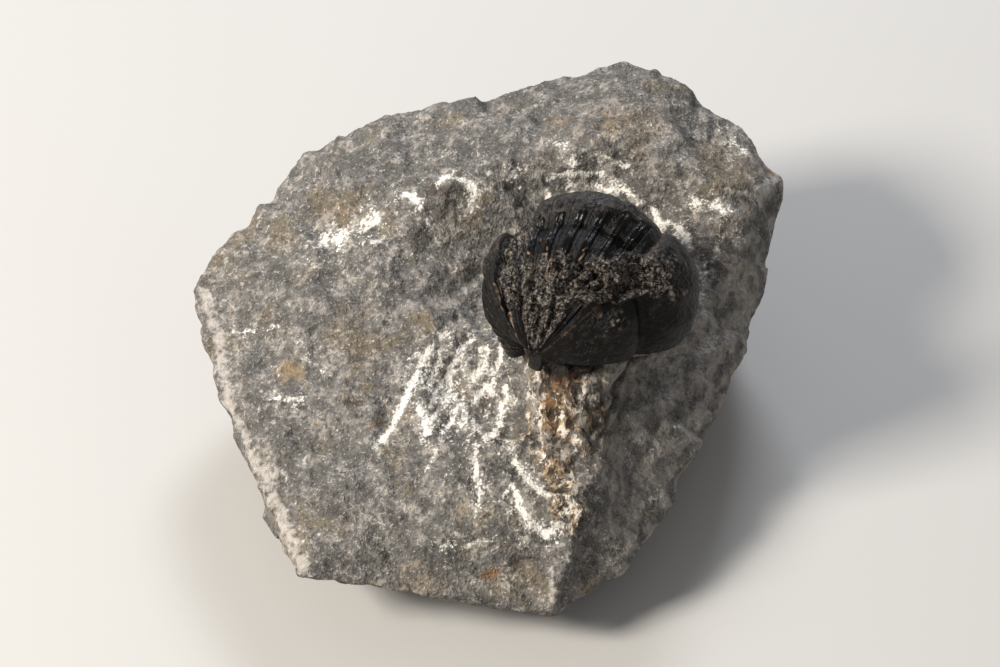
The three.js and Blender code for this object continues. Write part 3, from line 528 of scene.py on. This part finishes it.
# The collar where the neck meets the fossil, painted almost black as the shade under the fossil
collar_shade_colour = blend(tree, reach(tree, patches, 0.5, 0.6), "#0d0907", "#3a2718")
collar_shade_share = plus(tree, painted(tree, "collar"), times(tree, loose, 0.5))
colour = layer(tree, colour, collar_shade_share, 0.2, 0.6, 0.98, collar_shade_colour)
height = plus(tree, times(tree, patches, 0.7), times(tree, crumbs, 0.9))
height = plus(tree, height, times(tree, specks, 0.25))
cut_free = reckon(tree, "MAXIMUM", painted(tree, "neck"), painted(tree, "collar"))
height = plus(tree, height, times(tree, times(tree, streaks, cut_free), 1.6))
bump = add(tree, "ShaderNodeBump", {"Strength": 1.0, "Distance": 0.0004, "Height": height})
stone = add(tree, "ShaderNodeBsdfPrincipled", {
    "Base Color": colour, "Roughness": 0.78, "Specular IOR Level": 0.35, "Normal": bump.outputs[0]})
add(tree, "ShaderNodeOutputMaterial", {"Surface": stone.outputs[0]})
block.data.materials.append(limestone)
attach(block, "root")
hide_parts("limestone_matrix")


# Thorax: eleven plates of black calcite across the rolled-up body, which fossilised edge to edge.
# Each is a rounded rib with a narrow furrow along it. The needle laid them bare, except along the
# near flank, where a crust of rock is left and the ribs end in a broken line.

# Where the coil's middle sits in mm, and its lean and turn in degrees
COIL_CENTRE = (6.164, -5.742, 20.9)
COIL_LEAN = -26
COIL_TURN = -15
# The body around the coil: an angle, and the distance of its ridge and its half width there in mm
MIDLINE = [
    (-4, 12.2, 8.2), (2, 13, 8.3), (8, 14, 8.4), (18, 14.7, 8.5), (30, 15.5, 8.7), (40, 15.6, 8.8),
    (48, 15.2, 8.8), (54, 15.1, 8.8), (61, 15.2, 8.8), (72, 14.9, 8.8), (84, 14, 8.7), (96, 12.8, 8.7),
    (108, 11.6, 8.6), (120, 10.6, 8.2), (132, 9.6, 7.6), (145, 8.1, 6.9), (158, 6.5, 6.3),
    (170, 5.3, 5.9), (185, 4.6, 5.7), (200, 4.3, 5.5), (216, 4, 5.3)]
# Cross-sections: an across-share, 0 on the ridge and 1 at the tip, and the width and height there
THORAX_SECTION = [
    (0, 0, 1), (0.12, 0.16, 0.985), (0.24, 0.28, 0.925), (0.32, 0.34, 0.86), (0.42, 0.46, 0.86),
    (0.54, 0.62, 0.84), (0.66, 0.77, 0.77), (0.78, 0.9, 0.62), (0.88, 0.98, 0.4), (0.95, 1, 0.2),
    (1, 0.97, 0)]
HEAD_SECTION = [
    (0, 0, 1), (0.12, 0.15, 0.99), (0.24, 0.29, 0.955), (0.36, 0.42, 0.895), (0.48, 0.54, 0.8),
    (0.56, 0.6, 0.71), (0.66, 0.72, 0.68), (0.78, 0.88, 0.56), (0.88, 0.98, 0.38), (0.95, 1, 0.2),
    (1, 0.97, 0)]
# The head's section gives way to the thorax's between these angles
HEAD_FORM_END = (42, 50)
TIP_RADIUS = 1.3
SHELL_THICKNESS = 2.1
THORAX_ANGLES = (50.2, 152)
SEGMENTS = 11
WIDEST_SHARE = 0.7
# The stretch of the shell that is broken away
BREAK_ANGLES = (98, 117)
BREAK_ACROSS = (-0.84, 0.45)
# Steps of a plate's grid across and along it, degrees between the steps on its inner side, and
# the gap between two plates in mm
PLATE_STEPS = (230, 22)
INNER_STEP = 12
PLATE_GAP = 0.02
# About how many mm a degree of the coil measures, and the way from its ridge to a tip
DEGREE_SPAN = 0.24
ACROSS_SPAN = 13.0
# Roughness of the glossy bars and of the crust
SMOOTHEST = 0.16
ROUGHEST = 0.42
# Near edge of the axis, and upper and lower edge of the crust on the near flank, as
# across-shares at angles of the coil
AXIS_NEAR = [(50, 0.03), (58, 0.08), (64, 0.14), (70, 0.19), (80, 0.21), (92, 0.22), (110, 0.26),
             (152, 0.28)]
AXIS_FAR = 0.29
CRUST_TOP = [(24, -0.4), (28, -0.34), (37, -0.26), (44, -0.24), (50, -0.3), (54, -0.48), (57, -0.6),
             (61, -0.62), (70, -0.68), (87, -0.68), (97, -0.62), (103, -0.6)]
CRUST_FOOT = [(24, -0.42), (29, -0.47), (33, -0.53), (38, -0.74), (49, -0.84), (55, -0.92), (60, -1.1),
              (104, -1.1)]
# Angles where the crust sets in, is full, thins and ends
CRUST_ANGLES = (24, 34, 94, 102)
# Tan streaks of sediment, as lines through angles and across-shares, and knobs in the crust
STREAKS = [
    [(95, -0.65), (90, -0.7), (84, -0.7)], [(82, -0.7), (81, -0.78), (78, -0.83)],
    [(70, -0.68), (65, -0.6), (61, -0.58)], [(67, -0.73), (66, -0.67), (62, -0.64)],
    [(62, -0.87), (59, -0.84), (49, -0.81), (44, -0.76), (38, -0.73), (36, -0.63), (33, -0.51),
     (29, -0.45)],
    [(56, -0.66), (58, -0.52), (60, -0.48)], [(99, -0.72), (100, -0.86), (99, -0.93)],
    [(114, -0.84), (116, -0.93), (126, -0.98)], [(117, -0.21), (112, -0.49), (113, -0.62)],
    [(90, -0.28), (90, -0.53), (88, -0.68)], [(88, -0.28), (86, -0.58), (84, -0.68)],
    [(119, -0.72), (119, -0.86), (122, -0.92)],
]
STREAK_WIDTH = 0.17
KNOBS = [(69, -0.79), (60, -0.76), (85, -0.82), (45, -0.47), (67, -0.73), (53, -0.76), (47, -0.66),
         (73, -0.84), (38, -0.42), (78, -0.75), (92, -0.8)]
KNOB_RADIUS = 0.3
TAN_FILM = (39, -0.82)
FILM_RADIUS = 0.6
# The crooked ridge where the crust ends on the cheek
RIDGE = [(64, -0.88), (59, -0.84), (49, -0.81), (44, -0.76), (38, -0.73), (36, -0.63), (33, -0.51),
         (28, -0.45)]
RIDGE_HEIGHT = 0.7
RIDGE_WIDTH = 0.32
# The near flank's fan of broken ribs runs from the end of the ribs to the foot of the coil
FAN_TOP = (72, -0.78)
FAN_FOOT = (72, -0.99)


def through(rows, column, at):
    """A smooth curve through one column of rows, by its first column."""
    keys = np.array([row[0] for row in rows], float)
    values = np.array([row[column] for row in rows], float)
    at = np.clip(at, keys[0], keys[-1])
    after = np.clip(np.searchsorted(keys, at, side="right"), 1, len(keys) - 1)
    before = after - 1
    first, last = before == 0, after == len(keys) - 1
    previous = np.where(first, after, before - 1)
    following = np.where(last, before, np.minimum(after + 1, len(keys) - 1))
    half = (keys[after] - keys[before]) / 2
    pull_back = half / (keys[before] - keys[previous])
    pull_on = half / (keys[following] - keys[after])
    share = (at - keys[before]) / (keys[after] - keys[before])
    square, cube = share ** 2, share ** 3
    return (values[previous] * (-pull_back * cube + 2 * pull_back * square - pull_back * share)
            + values[before] * ((1 + pull_back) * cube + (-1.5 - 2 * pull_back) * square
                                + (-0.5 + pull_back) * share + 1)
            + values[after] * ((-1 - pull_on) * cube + (1.5 + pull_on) * square + 0.5 * share)
            + values[following] * (pull_on * cube - pull_on * square))


def body_points(angle, across, inset, raised):
    """Points of the coiled body in mm: `inset` under the shell's face and `raised` over it."""
    side = np.abs(across)
    head = 1 - smooth_step(*HEAD_FORM_END, angle)
    up = through(THORAX_SECTION, 2, side) * (1 - head) + through(HEAD_SECTION, 2, side) * head
    wide = through(THORAX_SECTION, 1, side) * (1 - head) + through(HEAD_SECTION, 1, side) * head
    radius = TIP_RADIUS + (through(MIDLINE, 1, angle) - inset - TIP_RADIUS + raised) * up
    out = np.sign(across) * wide * (
        through(MIDLINE, 2, angle) - inset + raised * (1 - up))
    turn = np.radians(angle)
    return np.stack([radius * np.cos(turn), out, radius * np.sin(turn)], -1)


def in_the_stone(points):
    """Turns the coil's own points to where it sits on the block."""
    lean = Matrix.Rotation(math.radians(COIL_LEAN), 3, "X")
    turn = Matrix.Rotation(math.radians(COIL_TURN), 3, "Z")
    return points @ np.array(lean @ turn).T + np.array(COIL_CENTRE)


def on_the_body(marks, raised=0):
    """Points in mm of places on the shell, each given as an angle and an across-share."""
    return in_the_stone(body_points(*np.array(marks, float).T, 0, raised))


def outward(angle, across):
    """Which way the body faces at each place, before any relief."""
    along = body_points(angle + 0.4, across, 0, 0) - body_points(angle - 0.4, across, 0, 0)
    over = body_points(angle, across + 0.006, 0, 0) - body_points(angle, across - 0.006, 0, 0)
    facing = np.cross(along, over)
    away = np.sign((facing * body_points(angle, across, 0, 0)).sum(-1))
    facing *= (away / np.maximum(np.linalg.norm(facing, axis=-1), 1e-9))[..., None]
    return in_the_stone(facing) - np.array(COIL_CENTRE)


def line_at(rows, angle):
    return np.interp(angle, [row[0] for row in rows], [row[1] for row in rows])


def body_noise(angle, across, period, seed):
    """Lumps about `period` mm apart over the coiled body."""
    flat = [np.ravel(angle) * DEGREE_SPAN, np.ravel(across) * ACROSS_SPAN, np.zeros(np.size(angle))]
    return lumps(np.stack(flat, 1), period, seed).reshape(np.shape(angle))


def crust_on(angle, across):
    """Share of rock crust left on the near flank at a place."""
    crook = 0.02 * np.sin(angle * 0.9) + 0.07 * body_noise(angle, across, 1.7, 3.9)
    top = smooth_step(0.0, 0.07, line_at(CRUST_TOP, angle) - across + crook)
    foot = smooth_step(0.0, 0.03, across - line_at(CRUST_FOOT, angle) + crook)
    starts, full, thins, ends = CRUST_ANGLES
    along = smooth_step(starts, full, angle) * (1 - smooth_step(thins, ends, angle + 120 * crook))
    return top * foot * along


def broken_away(angle, across):
    """Share of the shell lost from the left flank at a place."""
    along = smooth_step(BREAK_ANGLES[0] - 2, BREAK_ANGLES[0], angle) - smooth_step(
        BREAK_ANGLES[1], BREAK_ANGLES[1] + 2, angle)
    over = smooth_step(BREAK_ACROSS[0] - 0.05, BREAK_ACROSS[0], across) - smooth_step(
        BREAK_ACROSS[1], BREAK_ACROSS[1] + 0.05, across)
    return along * over


def shell_plate(name, angles, steps, relief):
    """A closed plate over the body from side to side. `relief` gives the height at each place."""
    front, back = angles
    inner_steps = max(1, math.ceil((back - front) / INNER_STEP))
    side = np.linspace(1, -1, steps[0] + 1)
    outer_share = np.linspace(0, 1, steps[1] + 1)
    inner_share = np.linspace(1, 0, inner_steps + 1)
    share = np.concatenate([outer_share, inner_share])
    outside = np.concatenate([np.ones(len(outer_share)), np.zeros(len(inner_share))])
    across, share = np.meshgrid(side, share, indexing="ij")
    outside = np.broadcast_to(outside, across.shape)
    angle = front + (back - front) * share
    raised = relief(share, across, angle) * outside
    points = body_points(angle, across, SHELL_THICKNESS * (1 - outside), raised)
    gap = np.where(share == 0, 0.5, 0) - np.where(share == 1, 0.5, 0)
    turn = np.radians(angle)
    onward = np.stack([-np.sin(turn), np.zeros_like(turn), np.cos(turn)], -1)
    points += (PLATE_GAP * gap)[..., None] * onward
    rings, count = across.shape
    row, column = np.meshgrid(np.arange(rings - 1), np.arange(count), indexing="ij")
    after = (column + 1) % count
    quads = np.stack([row * count + column, row * count + after, (row + 1) * count + after,
                      (row + 1) * count + column], -1).reshape(-1, 4)
    faces = quads.tolist() + [list(range(count))[::-1], list(range((rings - 1) * count, rings * count))]
    mesh = bpy.data.meshes.new(name)
    mesh.from_pydata((in_the_stone(points.reshape(-1, 3)) / 1000).tolist(), [], faces)
    mesh.update()
    on_top = (column < len(outer_share) - 1).ravel().tolist()
    mesh.polygons.foreach_set("use_smooth", on_top + [False, False])
    piece = put_in_scene(name, mesh)
    return piece, angle.ravel(), across.ravel(), share.ravel(), outside.ravel()


def creases(points, period, seed):
    """Sharp crests about `period` mm apart, 1 high, with hollows between them."""
    return 1 - 2.6 * np.abs(lumps(points, period, seed))


def weather(piece, angle, across, outside, crust, lost):
    """Roughens the outside: coarse where the crust or the broken stretch is, faint elsewhere."""
    places = vertices_of(piece.data) * 1000
    facing = outward(angle, across)
    wander = 0.35 * np.stack([lumps(places, 0.9, seed) for seed in (1.1, 5.3, 7.7)], 1)
    # Coarse relief of the crust: crests, flakes and grit
    crests = creases(places + wander, 1.7, 2.2)
    rough = 0.34 * crests + 0.36 * flakes(places + wander, 1.6, 4.1)
    rough += 0.12 * creases(places + wander, 0.8, 9.2)
    rough += 0.08 * flakes(places, 0.6, 8.8) + 0.06 * lumps(places, 0.22, 6.6)
    # On the fan of broken ribs the crests are drawn out towards the foot of the coil
    top, foot = on_the_body([FAN_TOP, FAN_FOOT])
    down = (foot - top) / np.linalg.norm(foot - top)
    drawn = places + wander - 0.7 * ((places - top) @ down)[:, None] * down
    fanned = smooth_step(52, 58, angle) * smooth_step(-0.74, -0.84, across)
    rough += fanned * (0.3 * creases(drawn, 0.75, 5.4) - 0.16 * crests) - 0.25
    rough *= 1 - 0.45 * smooth_step(50, 44, angle)
    # The ridge and the knobs stand up from a shallow hollow
    ridge = distance_to_run(places + 0.9 * wander, on_the_body(RIDGE, 0.1))
    rough += RIDGE_HEIGHT * hump(ridge, RIDGE_WIDTH)
    rough -= 0.35 * hump(ridge - 0.8, 0.35)
    for knob in on_the_body(KNOBS):
        span = np.linalg.norm(places + 0.5 * wander - knob, axis=1)
        rough += 0.35 * hump(span, KNOB_RADIUS)
        rough -= 0.35 * hump(span - 0.7, KNOB_RADIUS)
    plain = 0.1 * lumps(places, 1.5, 3.3) + 0.05 * lumps(places, 0.5, 8.1)
    plain += 0.025 * lumps(places, 0.22, 2.9)
    bare = np.maximum(crust, lost)
    places += facing * (outside * (rough * bare + plain * (1 - bare)))[:, None]
    places = np.clip(places, np.array(low) * 1000 + 0.02, np.array(high) * 1000 - 0.02)
    put_vertices(piece.data, places / 1000)
    streak = np.zeros(len(places))
    for run in STREAKS:
        span = distance_to_run(places + 0.7 * wander, on_the_body(run))
        streak = np.maximum(streak, hump(span, STREAK_WIDTH))
    span = np.linalg.norm(places - on_the_body([TAN_FILM])[0], axis=1)
    streak = np.maximum(streak, 0.8 * hump(span, FILM_RADIUS))
    paint(piece.data, "streak", streak * outside)
    paint(piece.data, "crust", crust * outside)
    paint(piece.data, "lost", lost * outside)


def on_the_axis(angle, across):
    """1 on the axis of the body and 0 on its flanks."""
    edge = np.where(across < 0, line_at(AXIS_NEAR, angle), AXIS_FAR)
    return 1 - smooth_step(edge - 0.03, edge + 0.03, np.abs(across))


def on_a_bar(share, across, angle):
    """1 on the narrow bar along the middle of each rib, between the axis and the crust."""
    bar = smooth_step(0.2, 0.3, share) * (1 - smooth_step(0.6, 0.7, share))
    return bar * (1 - on_the_axis(angle, across)) * (1 - smooth_step(104, 112, angle))


def rib(share, across, angle):
    """Height of a segment: one ring on the axis, and a rib with a narrow furrow on each flank."""
    side = np.abs(across)
    axis = on_the_axis(angle, across)
    worn = 0.35 + 0.65 * smooth_step(0.05, 0.4, across)
    ring = worn * (-0.14 + 0.2 * smooth_step(0.03, 0.3, share) * (1 - smooth_step(0.7, 0.97, share)))
    groove = hump(share - 0.45, 0.05)
    broad = smooth_step(0.03, 0.14, share) * (1 - smooth_step(0.86, 0.97, share))
    smooth_plates = smooth_step(104, 118, angle)
    bar = -0.42 + 0.52 * on_a_bar(share, across, angle) - 0.17 * groove
    bar += smooth_plates * (-0.2 + 0.3 * broad - 0.08 * groove - bar)
    height = ring * axis + bar * (1 - axis)
    height = height * (1 - 0.8 * smooth_step(0.84, 0.98, side))
    crust = crust_on(angle, across)
    return height * (1 - crust) + 0.02 * crust - 1.5 * broken_away(angle, across)


def segment_angles(index):
    """Front and back angle of a segment: they widen towards the tail."""
    ends = []
    for count in (index, index + 1):
        even = count / SEGMENTS
        share = even * (WIDEST_SHARE + (1 - WIDEST_SHARE) * even)
        ends.append(THORAX_ANGLES[0] + (THORAX_ANGLES[1] - THORAX_ANGLES[0]) * share)
    return ends


# Black calcite: glossy and almost black on the ribs, with brown rock dust in the furrows, and a
# matt grey-brown crust with tan specks where rock is left on it
calcite = bpy.data.materials.new("black_calcite_cleaned_by_needle")
calcite.use_nodes = True
tree = calcite.node_tree
tree.nodes.clear()
clouds = grain(tree, 3.0, 3.0, 0.6)
patches = grain(tree, 0.8, 5.0, 0.7, 0.5)
specks = grain(tree, 0.22, 3.0, 0.6)
gloss = painted(tree, "gloss")
loose = swing(tree, patches, 2.0)
# Black shell with brown films and a few pale specks
colour = blend(tree, reach(tree, clouds, 0.42, 0.6), "#020202", "#080706")
colour = layer(tree, colour, patches, 0.55, 0.66, 0.45, "#33271d")
colour = layer(tree, colour, specks, 0.63, 0.71, 0.3, "#75665a")
# Crumbs of grey-brown rock on black, where the crust or the broken stretch is
crumbs = plus(tree, times(tree, grain(tree, 0.38, 4.0, 0.7, 0.4), 0.7), times(tree, patches, 0.3))
crust_rock = blend(tree, reach(tree, crumbs, 0.48, 0.6), "#070605", "#6f665d")
crust_rock = layer(tree, crust_rock, specks, 0.57, 0.66, 0.75, "#a0978d")
crust_share = reckon(tree, "MAXIMUM", painted(tree, "crust"), painted(tree, "lost"))
colour = blend(tree, times(tree, crust_share, 0.9), colour, crust_rock)
# Brown dust in the furrows, clean black bars, pale grit on the head and tan streaks
colour = layer(tree, colour, plus(tree, painted(tree, "dust"), loose), 0.5, 0.95, 0.6, "#5a4433")
colour = blend(tree, times(tree, gloss, 0.9), colour, "#0b0b0c")
colour = layer(tree, colour, patches, 0.44, 0.6, painted(tree, "grit"), "#958b80")
colour = layer(tree, colour, plus(tree, painted(tree, "streak"), loose), 0.4, 0.95, 0.8, "#8a7460")
matt = plus(tree, crust_share, reach(tree, patches, 0.46, 0.58))
roughness = add(tree, "ShaderNodeMapRange", {
    "Value": reckon(tree, "SUBTRACT", matt, gloss), "From Min": -1.0,
    "To Min": SMOOTHEST, "To Max": ROUGHEST}).outputs["Result"]
height = plus(tree, times(tree, patches, 0.8), times(tree, specks, 0.6))
height = times(tree, height, reckon(tree, "SUBTRACT", 1.0, times(tree, gloss, 0.8)))
bump = add(tree, "ShaderNodeBump", {"Strength": 0.9, "Distance": 0.0002, "Height": height})
shell_surface = add(tree, "ShaderNodeBsdfPrincipled", {
    "Base Color": colour, "Roughness": roughness, "Specular IOR Level": 0.2, "Normal": bump.outputs[0]})
add(tree, "ShaderNodeOutputMaterial", {"Surface": shell_surface.outputs[0]})

for index in range(SEGMENTS):
    name = f"thoracic_segment_{index + 1:02d}"
    plate, angle, across, share, outside = shell_plate(
        f"segment_plate_{index + 1:02d}", segment_angles(index), PLATE_STEPS, rib)
    between = 1 - smooth_step(0.02, 0.12, share) * (1 - smooth_step(0.88, 0.98, share))
    axis = on_the_axis(angle, across)
    crust = crust_on(angle, across)
    paint(plate.data, "dust", np.maximum(0.5 * between * (1 - axis), 0.4 * between * axis) * outside)
    paint(plate.data, "gloss", on_a_bar(share, across, angle) * (1 - crust) * outside)
    weather(plate, angle, across, outside, np.maximum(crust, 0.3 * axis), broken_away(angle, across))
    plate.data.materials.append(calcite)
    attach(plate, "root")
    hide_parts(name)


# Head: one shield of black calcite with a swollen, grainy glabella, a furrow behind it, an eye of
# many small lenses on each cheek, and a flat border. Rock crust covers its near back corner.
HEAD_ANGLES = (2, 50.2)
HEAD_STEPS = (260, 130)
# Angle and across-share of the far eye, of the worn near eye and of the grainiest patch, and how
# high the eyes stand in mm
EYE_PLACE = (26, 0.76)
EYE_HEIGHT = 0.7
NEAR_EYE = (29, -0.785)
NEAR_EYE_HEIGHT = 0.35
GRAINY_PATCH = (32, -0.28)
# Distances in mm between two grains, and between two lenses of an eye
GRAIN_SPAN = 0.62
LENS_SPAN = 0.45


def near_eye(angle, across):
    """Distance from the middle of the near eye, where 1 is its rim."""
    return np.hypot((angle - NEAR_EYE[0]) / 6.5, (across - NEAR_EYE[1]) / 0.055)


def far_eye(angle, across):
    """Square of the distance from the middle of the far eye, where 1 is its rim."""
    return ((angle - EYE_PLACE[0]) / 7) ** 2 + ((across - EYE_PLACE[1]) / 0.085) ** 2


def head_height(share, across, angle):
    """Height in mm of the head's own forms at a place."""
    side = np.abs(across)
    middle = 1 - smooth_step(0.5, 0.7, side)
    # The furrow behind the glabella, which runs on over the far cheek
    height = -0.5 * hump(angle - 45, 2.2) * middle
    height -= 0.4 * hump(angle - 44, 2) * (1 - middle) * smooth_step(-0.6, -0.4, across)
    # The swollen glabella, the furrow inside the border and the ones beside the glabella
    height += 0.35 * hump(angle - 24, 13) * (1 - smooth_step(0.3, 0.5, side))
    height -= np.where(across < 0, 0.12, 0.35) * hump(angle - 9, 3)
    height -= 0.35 * hump(side - 0.58, 0.09) * (1 - smooth_step(24, 36, angle))
    # The eyes, and uneven cheeks
    height += EYE_HEIGHT * np.clip(1 - far_eye(angle, across), 0, 1) ** 0.5
    height += NEAR_EYE_HEIGHT * np.exp(-near_eye(angle, across) ** 4)
    uneven = 0.3 * body_noise(angle, across, 3.4, 4.5) + 0.14 * body_noise(angle, across, 1.3, 8.2)
    height += smooth_step(0.52, 0.66, side) * uneven
    crust = crust_on(angle, across)
    return height * (1 - 0.7 * crust) * (1 - smooth_step(0.86, 0.97, side))


def from_a_grain(points, period):
    """How far each point is from the middle of the nearest grain, where 1 is `period` mm."""
    return np.array([noise.voronoi(Vector(place))[0][0] for place in (points / period).tolist()])


head, angle, across, share, outside = shell_plate("head_shield", HEAD_ANGLES, HEAD_STEPS, head_height)
places = vertices_of(head.data) * 1000
facing = outward(angle, across)
glabella = smooth_step(4, 10, angle) * (1 - smooth_step(38, 42, angle))
glabella *= 1 - smooth_step(0.42, 0.55, np.abs(across))
patch = np.exp(-(((angle - GRAINY_PATCH[0]) / 9) ** 2 + ((across - GRAINY_PATCH[1]) / 0.17) ** 2) ** 2)
far = far_eye(angle, across) < 1
near = np.exp(-near_eye(angle, across) ** 4)
grains = from_a_grain(places, GRAIN_SPAN)
lenses = from_a_grain(places, LENS_SPAN)
# Grains on the glabella, domed lenses on the far eye and pits for the lenses of the near one
bumps = np.clip(1 - grains / 0.45, 0, 1) * (0.06 * glabella + 0.05 * patch)
bumps += patch * 0.14 * lumps(places, 0.9, 3.3)
bumps += 0.2 * np.clip(1 - lenses / 0.5, 0, 1) * (far - 1.3 * near)
bumps += near * 0.16 * lumps(places, 0.6, 1.9)
places += facing * (bumps * outside)[:, None]
put_vertices(head.data, places / 1000)
speckle = np.maximum(0.7 * patch, 0.85 * near) * smooth_step(0.5, 0.2, grains)
paint(head.data, "dust", 0.7 * hump(angle - 44.5, 1.6) * outside)
paint(head.data, "grit", speckle * outside)
crust = np.maximum(crust_on(angle, across), 0.3 * patch)
weather(head, angle, across, outside, crust, np.zeros(len(angle)))
head.data.materials.append(calcite)
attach(head, "root")
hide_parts("cephalon")


# Tail shield: one plate of black calcite, grown as a piece and tucked under the head when the
# animal rolled up. It has faint rings and ribs.
TAIL_ANGLES = (152.5, 204)
TAIL_STEPS = (160, 70)
TAIL_RINGS = 4.5


def tail_height(share, across, angle):
    ring = np.cos(share * math.tau * TAIL_RINGS)
    return 0.22 * ring * (1 - share) * (1 - 0.5 * np.abs(across))


tail, angle, across, share, outside = shell_plate("tail_shield", TAIL_ANGLES, TAIL_STEPS, tail_height)
on_a_ring = 0.5 - 0.5 * np.cos(share * math.tau * TAIL_RINGS + math.pi)
paint(tail.data, "dust", 0.6 * on_a_ring * (1 - share) * outside)
weather(tail, angle, across, outside, np.zeros(len(angle)), np.zeros(len(angle)))
tail.data.materials.append(calcite)
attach(tail, "root")
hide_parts("pygidium")


# Floor, lights and camera: a plain pale floor, a large soft lamp from the upper left and a weaker
# one from behind, and the camera where the photograph was taken from
CAMERA_PLACE = (0.001115, -0.18631, 0.22093)
CAMERA_TARGET = (0.001115, -0.008993, 0.024)
# Where the lamps point, and of each its place and width in m, its power in W and its tint
LAMP_TARGET = (0.0, 0.0, 0.015)
LAMPS = [
    ((-0.4, -0.14, 0.36), 0.14, 4.8, "#fff8ee"),
    ((0.05, 0.41, 0.34), 0.16, 1.9, "#eef2fb"),
]
floor_mesh = bpy.data.meshes.new("floor")
floor_mesh.from_pydata([(-3, -3, 0), (3, -3, 0), (3, 3, 0), (-3, 3, 0)], [], [(0, 1, 2, 3)])
floor = put_in_scene("floor", floor_mesh)
paper = bpy.data.materials.new("pale_paper_sheet")
paper.use_nodes = True
sheet = paper.node_tree.nodes["Principled BSDF"].inputs
sheet["Base Color"].default_value = linear("#b9b8b5")
sheet["Roughness"].default_value = 0.7
floor.data.materials.append(paper)
floor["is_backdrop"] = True

for number, (place, width, power, tint) in enumerate(LAMPS):
    lamp = bpy.data.lights.new(f"soft_lamp_{number + 1}", "AREA")
    lamp.size = width
    lamp.energy = power
    lamp.color = linear(tint)[:3]
    holder = put_in_scene(lamp.name, lamp)
    holder.location = place
    holder.rotation_euler = (Vector(LAMP_TARGET) - Vector(place)).to_track_quat("-Z", "Y").to_euler()
room = bpy.data.worlds.new("pale_room")
room.use_nodes = True
sky = room.node_tree.nodes["Background"].inputs
sky["Color"].default_value = linear("#e6e6e8")
sky["Strength"].default_value = 0.38
bpy.context.scene.world = room

lens = bpy.data.cameras.new("camera")
lens.lens = 100
lens.sensor_width = 36
lens.clip_start = 0.01
camera = put_in_scene("camera", lens)
camera.location = CAMERA_PLACE
camera.rotation_euler = (Vector(CAMERA_TARGET) - Vector(CAMERA_PLACE)).to_track_quat("-Z", "Y").to_euler()
bpy.context.scene.camera = camera
bpy.context.scene.view_settings.view_transform = "Standard"

low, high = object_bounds()
